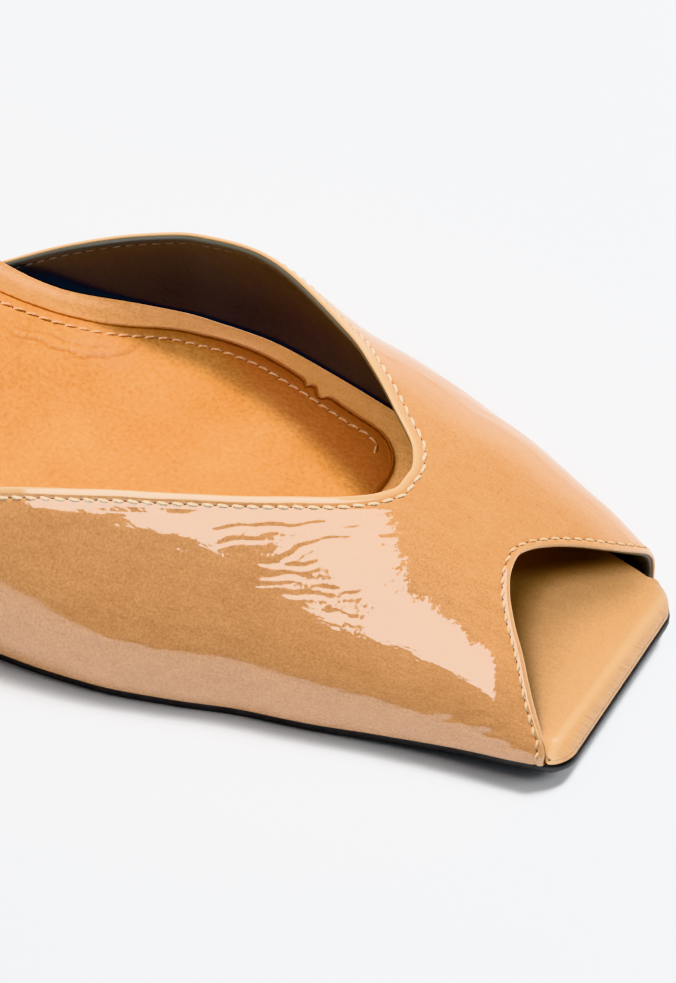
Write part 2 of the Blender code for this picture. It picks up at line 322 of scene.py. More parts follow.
def fall(value, end, length):
    """1 at first, then within the length evenly down to 0 at the end."""
    return np.clip((end - value) / length, 0.0, 1.0)


def bell(value, centre, width, power=2):
    """Bell of height 1; a higher power flattens its top."""
    return np.exp(-(((value - centre) / width) ** power))


def place(back, side, height):
    """Points of the part, in millimetres."""
    back, side, height = np.broadcast_arrays(back, side, height)
    skew = TOE_SKEW * side * np.maximum(0.0, 1.0 - back / TOE_SKEW_ENDS)
    return np.stack([ORIGIN_BACK - back - skew, side - ORIGIN_SIDE, height], axis=-1)


def sole_height(back):
    """Height of the sole's underside."""
    return column(SOLE_LINE, 1, back)


def feather_width(back, side):
    """Width of the outline on one side of the centre line."""
    return column(OUTLINE, 1 if side == LATERAL else 2, back)


def upper_point(back, around):
    """Outer face of the upper: "around" runs from -1 at the lateral to 1 at the medial feather edge."""
    back, around = np.broadcast_arrays(np.asarray(back, float), np.asarray(around, float))
    lateral = around < 0
    side = np.where(lateral, -1.0, 1.0)
    foot = sole_height(back) + OUTSOLE + GAP
    tall = column(CREST, 1, back) - foot
    middle = column(CREST, 2, back)
    angle = (1.0 - np.abs(around)) * np.pi / 2
    fullness = np.where(
        lateral, column(CREST, 3, back) - LATERAL_LEAN * np.cos(2 * angle), column(CREST, 4, back)
    )
    oval = 1.0 + fullness * np.sin(2 * angle) ** 2
    width = np.where(lateral, feather_width(back, LATERAL), feather_width(back, MEDIAL))
    reach = width - side * middle
    return place(back, middle + side * reach * oval * np.cos(angle), foot + tall * oval * np.sin(angle))


def unit(vectors):
    """Vectors made 1 long."""
    return vectors / np.maximum(np.linalg.norm(vectors, axis=-1, keepdims=True), 1e-9)


def upper_normal(back, around):
    """Outward normals of the upper's outer face."""
    around = np.clip(around, -0.9995, 0.9995)
    along = upper_point(back + 0.05, around) - upper_point(back - 0.05, around)
    across = upper_point(back, around + 0.0004) - upper_point(back, around - 0.0004)
    return unit(np.cross(across, along))


def edge_back(edge, around):
    """Where a cut edge crosses a line along the shoe: edge 1 is the toe opening, 2 the topline."""
    return column(CUT_EDGES, edge, around)


def back_per_mm(edge, around):
    """How far along the shoe a line runs while it gets 1 mm away from a cut edge."""
    at = edge_back(edge, around)
    step = 0.002
    low, high = np.clip(around - step, -1, 1), np.clip(around + step, -1, 1)
    edge_way = upper_point(edge_back(edge, high), high) - upper_point(edge_back(edge, low), low)
    line_way = (upper_point(at + 0.1, around) - upper_point(at - 0.1, around)) / 0.2
    away = np.linalg.norm(np.cross(unit(edge_way), line_way), axis=-1)
    return 1.0 / np.maximum(away, 0.2)


def smoothed(values, rounds):
    """Values in a row, each averaged with its neighbours again and again."""
    for _ in range(rounds):
        padded = np.concatenate([values[:1], values, values[-1:]])
        values = 0.25 * padded[:-2] + 0.5 * padded[1:-1] + 0.25 * padded[2:]
    return values


def cut_edges(around, rounds):
    """Toe opening and topline: where each one runs, and how far back a line runs per mm away from it."""
    toe_rate, top_rate = (smoothed(back_per_mm(edge, around), rounds) for edge in (1, 2))
    return edge_back(1, around), toe_rate, edge_back(2, around), top_rate


def edge_distances(back, edges):
    """Distances from the toe opening and from the topline."""
    toe, toe_rate, top, top_rate = edges
    return (back - toe) / toe_rate, (top - back) / top_rate


# ---------------------------------------------------------------- materials
def srgb(red, green, blue):
    """Linear colour of an sRGB one."""
    def channel(value):
        value /= 255.0
        return value / 12.92 if value <= 0.04045 else ((value + 0.055) / 1.055) ** 2.4
    return (channel(red), channel(green), channel(blue), 1.0)


class Nodes:
    """Small helper to wire a material's nodes."""

    def __init__(self, name):
        self.material = bpy.data.materials.new(name)
        self.material.use_nodes = True
        self.tree = self.material.node_tree
        self.shader = self.tree.nodes["Principled BSDF"]

    def set(self, **values):
        """Values of the shader's own sockets."""
        for socket, value in values.items():
            self.shader.inputs[socket.replace("_", " ")].default_value = value

    def node(self, kind, inputs=None, **settings):
        """New node; an input is a value or another node's output."""
        made = self.tree.nodes.new(kind)
        for key, value in settings.items():
            setattr(made, key, value)
        for key, value in (inputs or {}).items():
            if isinstance(value, bpy.types.NodeSocket):
                self.tree.links.new(value, made.inputs[key])
            else:
                made.inputs[key].default_value = value
        return made

    def link(self, output, socket):
        """Feeds a socket of the shader."""
        self.tree.links.new(output, self.shader.inputs[socket])

    def place(self, source, turn=0.0, scale=(1.0, 1.0, 1.0)):
        """Coordinates in millimetres, on the object or on its flat pattern."""
        coordinates = self.node("ShaderNodeTexCoord")
        return self.node(
            "ShaderNodeMapping",
            {
                "Vector": coordinates.outputs[source],
                "Rotation": (0.0, 0.0, math.radians(turn)),
                "Scale": tuple(1000.0 * s for s in scale),
            },
        ).outputs["Vector"]

    def layer(self, name):
        """Values that a piece carries at its points."""
        return self.node("ShaderNodeAttribute", attribute_name=name).outputs["Fac"]

    def times(self, value, factor):
        return self.node("ShaderNodeMath", {0: value, 1: factor}, operation="MULTIPLY").outputs[0]

    def noise(self, vector, size, detail=2.0, roughness=0.5, distortion=0.0):
        """Noise of a size in millimetres."""
        return self.node(
            "ShaderNodeTexNoise",
            {"Vector": vector, "Scale": 1.0 / size, "Detail": detail, "Roughness": roughness,
             "Distortion": distortion},
        ).outputs["Fac"]

    def cells(self, vector, size, **settings):
        """Distance from scattered points, about a size in millimetres apart."""
        return self.node(
            "ShaderNodeTexVoronoi", {"Vector": vector, "Scale": 1.0 / size, "Randomness": 1.0}, **settings
        ).outputs["Distance"]

    def ramp(self, value, stops):
        """Colours at given values, blended in between."""
        made = self.node("ShaderNodeValToRGB", {"Fac": value})
        band = made.color_ramp
        stops = tuple(stops)
        while len(band.elements) < len(stops):
            band.elements.new(0.5)
        for element, (position, colour) in zip(band.elements, stops):
            element.position = position
            element.color = colour
        return made.outputs["Color"]

    def mix(self, share, first, second):
        """The first colour with a share of the second over it."""
        made = self.node("ShaderNodeMix", {"Factor": share}, data_type="RGBA")
        for socket, value in ((made.inputs[6], first), (made.inputs[7], second)):
            if isinstance(value, bpy.types.NodeSocket):
                self.tree.links.new(value, socket)
            else:
                socket.default_value = value
        return made.outputs[2]

    def tinted(self, colour, tints):
        """Colour with tints over it, each by a layer of the piece and a share."""
        for layer, share, tint in tints:
            colour = self.mix(self.times(self.layer(layer), share), colour, srgb(*tint))
        return colour

    def bump(self, height, distance, normal=None):
        """Bump whose heights, from 0 to 1, stand for a distance in millimetres."""
        inputs = {"Height": height, "Distance": distance * MM, "Strength": 1.0}
        if normal is not None:
            inputs["Normal"] = normal
        return self.node("ShaderNodeBump", inputs).outputs["Normal"]


def patent(name, crinkle=1.0, tone=1.0, coat=1.0, coat_roughness=0.025, fold_highlights=False, tints=()):
    """Tan patent leather: mottled suede tone under a clear coat with fine oblique wrinkles."""
    n = Nodes(name)
    flat = n.place("UV")
    slanted = n.place("UV", turn=-32.0, scale=(0.34, 1.0, 1.0))
    crossing = n.place("UV", turn=38.0, scale=(0.45, 1.0, 1.0))

    def shade(red, green, blue):
        return srgb(*(min(255.0, v * tone) for v in (red, 1.012 * green, 1.02 * blue)))

    def tones(values, *stops):
        return n.ramp(values, [(position, shade(*colour)) for position, colour in stops])

    strokes = n.noise(slanted, 0.9, 2.0, 0.5, 0.4)
    crumple = n.noise(crossing, 2.6, 2.0, 0.55, 0.5)
    mottled = tones(n.noise(flat, 1.4, 4.0, 0.62),
                    (0.30, (172, 114, 63)), (0.52, (199, 140, 87)), (0.73, (224, 166, 112)))
    cloudy = tones(n.noise(flat, 11.0, 3.0, 0.55), (0.3, (188, 128, 75)), (0.7, (208, 150, 96)))
    speckled = tones(n.noise(flat, 0.42, 2.0, 0.6), (0.32, (168, 110, 61)), (0.66, (226, 169, 115)))
    # painted shade: the streak and crumple tones darken the colour where the strokes and crumple bumps dip
    streak_shade = tones(strokes, (0.32, (182, 122, 70)), (0.55, (206, 148, 94)))
    shadows = tones(crumple, (0.25, (176, 116, 64)), (0.6, (206, 148, 94)))
    colour = n.mix(0.50, n.mix(0.45, mottled, cloudy), speckled)
    colour = n.mix(0.20, n.mix(0.10, colour, streak_shade), shadows)
    if fold_highlights:
        # painted highlight: paler along the rolled edges, by the piece's fold layer
        colour = n.mix(n.times(n.layer("fold_highlight"), 0.75), colour, shade(232, 193, 146))
    colour = n.tinted(colour, tints)
    # a few tiny dark specks
    specks = n.ramp(n.cells(flat, 21.0), ((0.009, (1, 1, 1, 1)), (0.016, (0, 0, 0, 1))))
    n.link(n.mix(specks, colour, shade(120, 76, 44)), "Base Color")
    normal = n.bump(n.noise(flat, 1.3, 1.0, 0.5), 0.012 * crinkle)
    normal = n.bump(n.noise(slanted, 0.8, 1.0, 0.5, 0.3), 0.007 * crinkle, normal)
    normal = n.bump(n.noise(flat, 0.5, 1.0, 0.5), 0.0022 * crinkle, normal)
    n.link(normal, "Coat Normal")
    n.link(n.bump(crumple, 0.10 * crinkle, n.bump(strokes, 0.03 * crinkle)), "Normal")
    n.set(Roughness=0.5, Specular_IOR_Level=0.15)
    n.set(Coat_Weight=coat, Coat_Roughness=coat_roughness, Coat_IOR=2.0)
    return n.material


def smooth_leather(name, dark, light, grain, roughness, tints=(), depth=0.03, flecks=0.3):
    """Natural leather with a fine grain and slow changes of tone."""
    n = Nodes(name)
    flat = n.place("Object")
    clouds = n.noise(flat, 16.0, 3.0, 0.6)
    fine = n.noise(flat, 0.7, 3.0, 0.65)
    tone = n.ramp(clouds, ((0.32, srgb(*dark)), (0.68, srgb(*light))))
    darker, lighter = (0.93 * v for v in dark), (min(255, 1.04 * v) for v in light)
    fleck = n.ramp(fine, ((0.3, srgb(*darker)), (0.7, srgb(*lighter))))
    n.link(n.tinted(n.mix(flecks, tone, fleck), tints), "Base Color")
    pores = n.bump(n.cells(flat, grain, feature="SMOOTH_F1"), depth)
    n.link(n.bump(n.noise(flat, 2.4, 3.0, 0.6), 0.05, pores), "Normal")
    n.set(Roughness=roughness)
    return n.material


def thread(name, dark, light):
    """Waxed thread with the twist of its plies."""
    n = Nodes(name)
    flat = n.place("Object")
    n.link(n.ramp(n.noise(flat, 0.5, 2.0), ((0.3, srgb(*dark)), (0.7, srgb(*light)))), "Base Color")
    ply = n.node(
        "ShaderNodeTexWave", {"Vector": flat, "Scale": 0.75, "Distortion": 1.5}, bands_direction="DIAGONAL"
    ).outputs["Fac"]
    n.link(n.bump(ply, 0.05), "Normal")
    n.set(Roughness=0.55)
    return n.material


def plain(name, colour, roughness, size=1.6, grain=0.8, depth=0.02, dark=None, stops=(0.3, 0.7)):
    """Matt or satin stuff with a little unevenness in tone and surface."""
    n = Nodes(name)
    flat = n.place("Object")
    dark = dark or tuple(0.8 * v for v in colour)
    n.link(n.ramp(n.noise(flat, size, 3.0), zip(stops, (srgb(*dark), srgb(*colour)))), "Base Color")
    n.link(n.bump(n.noise(flat, grain, 3.0, 0.6), depth), "Normal")
    n.set(Roughness=roughness)
    return n.material


# ---------------------------------------------------------------- mesh helpers
def mesh_piece(name, points, faces, material, part, uvs=None, stands_for=True):
    """Piece of a CAD part, from points in millimetres; "uvs" gives each point's place on the flat pattern."""
    mesh = bpy.data.meshes.new(name)
    mesh.from_pydata((np.asarray(points) * MM).tolist(), [], [tuple(int(i) for i in f) for f in faces])
    mesh.shade_smooth()
    if uvs is not None:
        layer = mesh.uv_layers.new(name="pattern")
        index = np.zeros(len(mesh.loops), dtype=np.int32)
        mesh.loops.foreach_get("vertex_index", index)
        layer.data.foreach_set("uv", (np.asarray(uvs)[index] * MM).astype(np.float32).ravel())
    mesh.materials.append(material)
    piece = bpy.data.objects.new(name, mesh)
    bpy.context.scene.collection.objects.link(piece)
    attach(piece, BODY)
    if stands_for:
        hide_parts(part)
    return piece


def last_measures(piece):
    """How far back and how far to the side the points of a flat piece lie."""
    points = np.empty(len(piece.data.vertices) * 3, np.float32)
    piece.data.vertices.foreach_get("co", points)
    points = points.reshape(-1, 3) / MM
    return ORIGIN_BACK - points[:, 0], points[:, 1] + ORIGIN_SIDE


def add_layer(piece, name, values):
    """Values at the points of a piece, for its material."""
    layer = piece.data.attributes.new(name, "FLOAT", "POINT")
    layer.data.foreach_set("value", np.asarray(values, np.float32).ravel())


def grid_faces(rows, columns, start=0):
    """Quads of a grid whose points run row by row."""
    index = start + np.arange(rows * columns).reshape(rows, columns)
    return np.stack(
        [index[:-1, :-1], index[:-1, 1:], index[1:, 1:], index[1:, :-1]], axis=-1
    ).reshape(-1, 4)


def tube_faces(levels, count, start=0):
    """Sides and flat ends of a tube whose points run ring by ring."""
    index = start + np.arange(levels * count).reshape(levels, count)
    following = np.roll(index, -1, axis=1)
    sides = np.stack([index[:-1], following[:-1], following[1:], index[1:]], axis=-1)
    return sides.reshape(-1, 4).tolist() + [index[0, ::-1].tolist(), index[-1].tolist()]


def field_noise(points, size, seed):
    """Smooth noise about 0 at points in millimetres."""
    flat = points.reshape(-1, 3) / size + np.array([seed * 17.3, seed * 5.1, seed * 9.7])
    values = np.array([noise.noise(Vector(p)) for p in flat])
    return values.reshape(points.shape[:-1])


# ---------------------------------------------------------------- the upper
ROLL = SKIN / 2
# rows of points beside a cut edge, by their distance from it: on the skin, and on the lip folded under it
EDGE_STEPS = (
    0.0, 0.012, 0.045, 0.10, 0.18, 0.28, 0.4, 0.55, 0.75, 0.95, 1.12, 1.3, 1.48, 1.68, 1.88, 2.1, 2.5, 3.2
)
LIP_STEPS = (0.03, 0.10, 0.22, 0.45, 1.0, 2.4)
LINING_EDGE = (
    # distance from the cut edge, depth below the skin's face
    (1.0, SKIN - 0.1),
    (0.32, SKIN - 0.06),
    (0.20, SKIN + 0.05),
    (0.18, SKIN + 0.22),
    (0.25, SKIN + 0.48),
    (0.42, SKIN + 0.70),
    (0.65, WALL - 0.08),
    (0.9, WALL - 0.02),
    (1.08, WALL - 0.05),
    (1.2, WALL - 0.13),
    (1.32, WALL - 0.05),
    (1.55, WALL),
    (2.2, WALL),
    (3.6, WALL),
)
SKIN_ROWS, SKIN_COLUMNS = 128, 261       # of points between the edges, and round the vamp
LINING_ROWS, LINING_COLUMNS = 60, 161


def rolled(distance):
    """Drop of the rounded-over edge of the skin."""
    return ROLL - math.sqrt(max(ROLL**2 - max(ROLL - distance, 0.0) ** 2, 0.0))


def edge_relief(distance, inset):
    """Relief of the folded edge: rounded over, swollen as far as the stitching, pulled in along it."""
    swell = 0.09 * bell(distance, 0.55 * inset, 0.28 * inset)
    return swell - 0.15 * bell(distance, inset, 0.27) - rolled(distance)


def furrow(forward, up, half_length, turn, half_width, depth, phase):
    """One crease through the origin: a soft trough between two lower ridges."""
    c, s = math.cos(math.radians(turn)), math.sin(math.radians(turn))
    along = forward * c + up * s
    across = -forward * s + up * c + 0.35 * np.sin(along * 0.9 + phase)
    ridges = 0.55 * bell(np.abs(across), 1.9 * half_width, half_width)
    return depth * bell(along, 0.0, half_length, 4) * (ridges - bell(across, 0.0, half_width))


def crease_relief(back, around, points):
    """Creases of wear, lumps left by lasting, and ripples too slow for a bump map."""
    girth = around * GIRTH
    relief = 0.085 * field_noise(points, 11.0, 1) + 0.022 * field_noise(points, 4.2, 2)
    for at, where, half_length, half_girth, height in SWELLS:
        relief += height * bell(back, at, half_length) * bell(girth, where * GIRTH, half_girth)
    for at, where, *shape in CREASES:
        relief += furrow(at - back, (girth - where * GIRTH) * (1 if where < 0 else -1), *shape, at)
    return relief


def wear_lift(back, around, points, edges):
    """Creases and swells of the outer skin, quieter beside its edges."""
    near = np.minimum(*edge_distances(back, edges))
    fade = fall(np.abs(around), 1.0, 0.06) * (0.25 + 0.75 * rise(near, 0.0, 3.2))
    return crease_relief(back, around, points) * fade


def drawn_in(back, around, edges):
    """The stitched edge of the lateral wing pulls in, more so towards the back."""
    below = np.maximum(edge_distances(back, edges)[1], 0.0)
    return -0.50 * rise(back, 52.0, 40.0) * (around < 0) * bell(below, 0.0, 3.4)


def make_upper_skin():
    """Patent skin with its folded edges and the lip inside them."""
    # the columns crowd towards the feather edges
    widest = math.pi / 2 * 0.82
    around = np.sin(np.linspace(-widest, widest, SKIN_COLUMNS)) / math.sin(widest)
    edges = toe, toe_rate, top, top_rate = cut_edges(around, 6)
    first, last = toe + toe_rate * EDGE_STEPS[-1], top - top_rate * EDGE_STEPS[-1]
    rows = [(toe + toe_rate * d, SKIN, rolled(d)) for d in LIP_STEPS[::-1]]
    rows += [(toe + toe_rate * d, 0.0, edge_relief(d, TOE_INSET)) for d in EDGE_STEPS]
    rows += [(first + (last - first) * i / SKIN_ROWS, 0.0, 0.0) for i in range(1, SKIN_ROWS)]
    rows += [(top - top_rate * d, 0.0, edge_relief(d, THROAT_INSET)) for d in EDGE_STEPS[::-1]]
    rows += [(top - top_rate * d, SKIN, rolled(d)) for d in LIP_STEPS]
    backs = np.array([row[0] for row in rows])
    depths, reliefs = (np.array([[row[c]] for row in rows]) for c in (1, 2))
    arounds = np.broadcast_to(around, backs.shape)
    points = upper_point(backs, arounds)
    wear = np.where(depths > 0, 0.0, wear_lift(backs, arounds, points, edges))
    lift = reliefs - depths + wear + drawn_in(backs, arounds, edges)
    points = points + upper_normal(backs, arounds) * lift[..., None]
    from_toe, from_top = edge_distances(backs, edges)
    # painted highlight along the rolled edges, weaker at the toe opening
    fold_highlight = np.where(depths > 0, 1.0, bell(np.minimum(from_toe * 1.6, from_top), 0.0, 1.0))
    fold_highlight = fold_highlight * np.where(from_toe < from_top, 0.45, 1.0)
    # the skin turns in under itself along the feather edge
    tuck = np.array([0.3, 0.9, 2.0])
    inward = np.array([0.25, 0.8, 1.9]) * (1.0 - 0.8 * (depths > 0))
    under = []
    for at, sign in ((0, LATERAL), (-1, MEDIAL)):
        turned = np.repeat(points[:, [at]], len(tuck), axis=1)
        turned[..., 1] -= sign * inward
        turned[..., 2] -= (0.10, 0.14, 0.14)
        under.append(turned)
    points = np.concatenate([under[0][:, ::-1], points, under[1]], axis=1)
    girth = np.concatenate([-GIRTH - tuck[::-1], around * GIRTH, GIRTH + tuck])
    backs, fold_highlight = (np.pad(values, ((0, 0), (len(tuck), len(tuck))), mode="edge") for values in (backs, fold_highlight))
    uvs = np.stack([-backs, np.broadcast_to(girth, backs.shape)], axis=-1)
    piece = mesh_piece(
        "upper_skin", points.reshape(-1, 3), grid_faces(*backs.shape), PATENT, "upper", uvs.reshape(-1, 2)
    )
    add_layer(piece, "fold_highlight", fold_highlight)


def make_upper_lining():
    """Dark lining inside the skin, its edge a little below the folded one."""
    around = np.linspace(-1, 1, LINING_COLUMNS)
    edges = toe, toe_rate, top, top_rate = cut_edges(around, 4)
    rows = [(toe + toe_rate * d, depth) for d, depth in LINING_EDGE]
    first, last = rows[-1][0], top - top_rate * LINING_EDGE[-1][0]
    rows += [(first + (last - first) * i / LINING_ROWS, WALL) for i in range(1, LINING_ROWS)]
    rows += [(top - top_rate * d, depth) for d, depth in LINING_EDGE[::-1]]
    backs = np.array([row[0] for row in rows])
    depths = np.array([[row[1]] for row in rows])
    arounds = np.broadcast_to(around, backs.shape)
    points = upper_point(backs, arounds)
    depths = depths + 0.05 * field_noise(points, 9.0, 4) - drawn_in(backs, arounds, edges)
    points = points - upper_normal(backs, arounds) * depths[..., None]
    uvs = np.stack([-backs, arounds * 50.0], axis=-1)
    piece = mesh_piece(
        "upper_lining", points.reshape(-1, 3), grid_faces(*backs.shape)[:, ::-1], LINING, "upper",
        uvs.reshape(-1, 2),
    )
    below = np.maximum(np.minimum(*edge_distances(backs, edges)), 0.0)
    # painted highlight along the lining's top edge
    add_layer(piece, "rim_highlight", bell(below, 0.18, 0.14))
    add_layer(piece, "collar", bell(below, 0.0, 3.0))


# ---------------------------------------------------------------- flat pieces over the last's outline
# rows of the footbed's wrap behind its front, close together where it rolls over
WRAP_STEPS = (0.0, 0.02, 0.07, 0.16, 0.3, 0.5, 0.75, 1.05, 1.4, 1.8, 2.25, 2.7, 3.1, 3.5, 4.0, 4.6)


def corner_cut(back, front, corner):
    """What a rounded front corner takes off the width."""
    ahead = fall(back, front + corner, corner) * corner
    return corner - np.sqrt(corner**2 - ahead**2)


def rear_share(back, rear):
    """Share of the width that the round of the heel leaves."""
    return np.sqrt(1 - rise(back, HEEL_CENTRE, rear - HEEL_CENTRE) ** 2)


def plan_grid(front, rear, corner, inset, inward=0.0, across=14, step=2.5, notch=None):
    """Grid of (back, side) over the whole outline, as two arrays; its border is the outline."""
    count = int((HEEL_CENTRE - front - corner) / step)
    front, rear, corner = front + inward, rear - inward, max(corner - inward, 0.3)
    start = front + corner
    back = np.concatenate([
        front + corner * (1 - np.cos(np.radians(np.arange(0, 90, 15)))),
        start + (HEEL_CENTRE - start) * np.arange(count + 1) / count,
        HEEL_CENTRE + (rear - HEEL_CENTRE) * np.sin(np.radians(np.linspace(0, REAR_TURN, 24)[1:])),
    ])

    def width(side):
        wide = feather_width(back, side) - inset(back) - inward - corner_cut(back, front, corner)
        if notch is not None and side == MEDIAL:
            wide = wide - notch(back)
        return wide * rear_share(back, rear)

    share = np.linspace(0, 1, across + 1)
    side = -width(LATERAL)[:, None] * (1 - share) + width(MEDIAL)[:, None] * share
    return np.broadcast_to(back[:, None], side.shape), side


def border(grid):
    """Values round a grid: down its first column, along its last row, up its last column and back."""
    return np.concatenate([grid[:-1, 0], grid[-1, :-1], grid[:0:-1, -1], grid[0, :0:-1]])


def toe_wrap(back):
    """How far the footbed's wrap comes down over the edge of the outsole, at the toe only."""
    return 0.35 * fall(back, 3.4, 1.2)


def flat_piece(name, plan, underside, thickness, profile, material, part, relief=None, **kind):
    """Closed piece of even thickness over an outline, with a shaped edge and a modelled top."""
    layers = []
    for inward, share in profile:
        back, side = plan_grid(*plan, inward, **kind)
        layers.append(place(back, side, underside(back) + share * thickness(back)))
    rings = [border(layer) for layer in layers]
    if relief is not None:
        layers[-1][..., 2] += relief(back, side, layers[-1])
    return closed_piece(name, layers[0], rings, layers[-1], material, part)


def make_footbed():
    """Wrap of the footbed: rolled over at the toe, coved up to meet the lining everywhere else."""
    front, rear, roll = FOOTBED_FRONT, FOOTBED_REAR, TOE_LIP
    back = np.concatenate([
        front + np.array(WRAP_STEPS),
        np.arange(5.6, HEEL_CENTRE, 1.8),
        HEEL_CENTRE + (rear - HEEL_CENTRE) * np.sin(np.radians(np.linspace(0, REAR_TURN, 24))),
    ])[:, None]
    ends = 0.5 * (1 - np.cos(np.linspace(0, 0.42, 13) * np.pi))
    share = np.concatenate([ends, np.linspace(ends[-1], 1 - ends[-1], 22)[1:-1], 1 - ends[::-1]])[None, :]
    inside = column(INSETS, 1, np.maximum(back, WRAP_END)) - 0.45

    def half_width(side):
        wide = feather_width(back, side) - WRAP_INSET - corner_cut(back, front, TOE_CORNER)
        narrowed = rise(back, WRAP_END, 3.0)
        wide = wide - (inside - WRAP_INSET) * narrowed * (2 - narrowed)
        return wide * rear_share(back, rear)

    lateral, medial = half_width(LATERAL), half_width(MEDIAL)
    side = -lateral * (1 - share) + medial * share
    back = np.broadcast_to(back, side.shape)
    across = np.minimum(side + lateral, medial - side)
    # distance to the rounded front outline
    ahead = front + TOE_CORNER - back
    corner_in = TOE_CORNER - (feather_width(back, LATERAL) - WRAP_INSET + side)
    corner_in = np.maximum(corner_in, TOE_CORNER - (feather_width(back, MEDIAL) - WRAP_INSET - side))
    rounded = TOE_CORNER - np.hypot(np.maximum(ahead, 0), np.maximum(corner_in, 0))
    distance = np.where((ahead > 0) & (corner_in > 0), rounded, np.minimum(back - front, across + 4.0))
    distance = np.clip(distance, 0.0, roll) + 3.0 * rise(back, 3.4, 2.0)
    over = np.clip(roll - distance, 0.0, roll)
    drop = roll - np.sqrt(np.maximum(roll**2 - over**2, 0.0))
    cove = 0.70 * bell(across, 0.0, 1.7) * rise(back, 3.6, 3.0) * fall(back, LENGTH - 10.0, 16.0)
    dip = -0.30 * bell(back, 26.0, 16.0) * rise(back, 6.0, 8.0) * (1 - (side / 34.0) ** 2)
    base = sole_height(back) + OUTSOLE + GAP
    top = place(back, side, base + FOOTBED)
    top[..., 1] -= 1.3 * bell(back, 117.0, 9.0) * fall(medial - side, 6.0, 3.0)
    uneven = 0.05 * field_noise(top, 14.0, 7) * rise(back, 0.0, 6.0)
    # outside the sock the wrap stands up as a band
    outside = fall(sock_inside(back, side), 0.65, 0.5) * rise(back, 60.0, 14.0)
    top[..., 2] += cove + dip + uneven - drop + 0.52 * outside * fall(back, LENGTH - 40.0, 24.0)
    bottom = place(back, side, base - toe_wrap(back))
    low, high = border(bottom), border(top)
    rings = [low + (high - low) * t for t in (0.0, 0.10, 0.35, 0.6, 0.85, 1.0)]
    piece = closed_piece("footbed_wrap", bottom, rings, top, WRAP, "footbed")
    back, side = last_measures(piece)
    # painted highlight along the rolled front edge, with a paler tone over the toe as well
    add_layer(piece, "fold_highlight", np.maximum(0.75 * bell(back, front + 1.7, 1.1), 0.35 * fall(back, 44.0, 16.0)))
    # painted shade: the band beside the sock darker from the throat back to the arch, where the wings shade
    # it
    add_layer(piece, "band", rise(back, 50.0, 14.0) * fall(back, 112.0, 18.0))
    # painted shade: darker under the vamp, deep inside the toe, up to the edge of its shadow
    add_layer(piece, "deep", rise(back + 1.37 * side, 36.1, 5.0) * fall(back, 48.0, 6.0))


def closed_piece(name, bottom, rings, top, material, part):
    """Closed piece of a bottom grid, rings up its edge and a top grid."""
    rows, columns = top.shape[:2]
    count, grid = len(rings[0]), rows * columns
    order = border(np.arange(grid).reshape(rows, columns))
    start = grid + count * (len(rings) - 2)
    levels = [order, *(grid + np.arange(count * (len(rings) - 2)).reshape(-1, count)), start + order]
    faces = [grid_faces(rows, columns), grid_faces(rows, columns, start)[:, ::-1]]
    for low, high in zip(levels, levels[1:]):
        faces.append(np.stack([low, high, np.roll(high, -1), np.roll(low, -1)], axis=-1))
    points = np.concatenate([bottom.reshape(-1, 3), *rings[1:-1], top.reshape(-1, 3)])
    uvs = points[:, :2] + 0.7 * points[:, 2:]
    return mesh_piece(name, points, np.concatenate(faces), material, part, uvs)


def sock_spread(back):
    """How far the sock's edge is trodden out beyond its cut, past the medial ball."""
    return 0.45 * bell(back, 86.0, 22.0, 4)


def sock_inside(back, side):
    """Distance from the sock's outline, positive inside it."""
    inset = column(INSETS, 2, back)
    lateral = feather_width(back, LATERAL) - inset + side
    medial = feather_width(back, MEDIAL) - inset + sock_spread(back) - side
    across = np.minimum(lateral, medial)
    ahead = SOCK_FRONT + SOCK_CORNER - back
    corner = SOCK_CORNER - np.hypot(np.maximum(ahead, 0), np.maximum(SOCK_CORNER - across, 0))
    inside = np.where(ahead > 0, corner, across)
    from_rear = SOCK_REAR - HEEL_CENTRE + 2.0 - np.hypot(back - HEEL_CENTRE, side)
    return np.where(back > HEEL_CENTRE, np.minimum(inside, from_rear), inside)


def sock_notch(back):
    """What two small tears take off the sock's medial edge, less its spread."""
    return 1.2 * bell(back, 73.3, 0.5) + 1.4 * bell(back, 70.2, 1.1, 4) - sock_spread(back)


def sock_face(back):
    """Height of the sock's face."""
    return sole_height(back) + OUTSOLE + FOOTBED + SOCK + 2 * GAP - SOCK_SINK


def footprint(back, side):
    """Hollows that the tread and the heel have pressed into the sock."""
    tread = bell(back, 88.0, 26.0) * bell(side, 0.0, 20.0)
    seat = bell(back, 226.0, 20.0) * bell(side, 0.0, 16.0)
    return -0.5 * (tread + seat)


def sock_creases(back, side):
    """Relief of the sock's wrinkles."""
    return sum(furrow(at - back, side - where, *shape, at) for at, where, *shape in SOCK_CREASES)


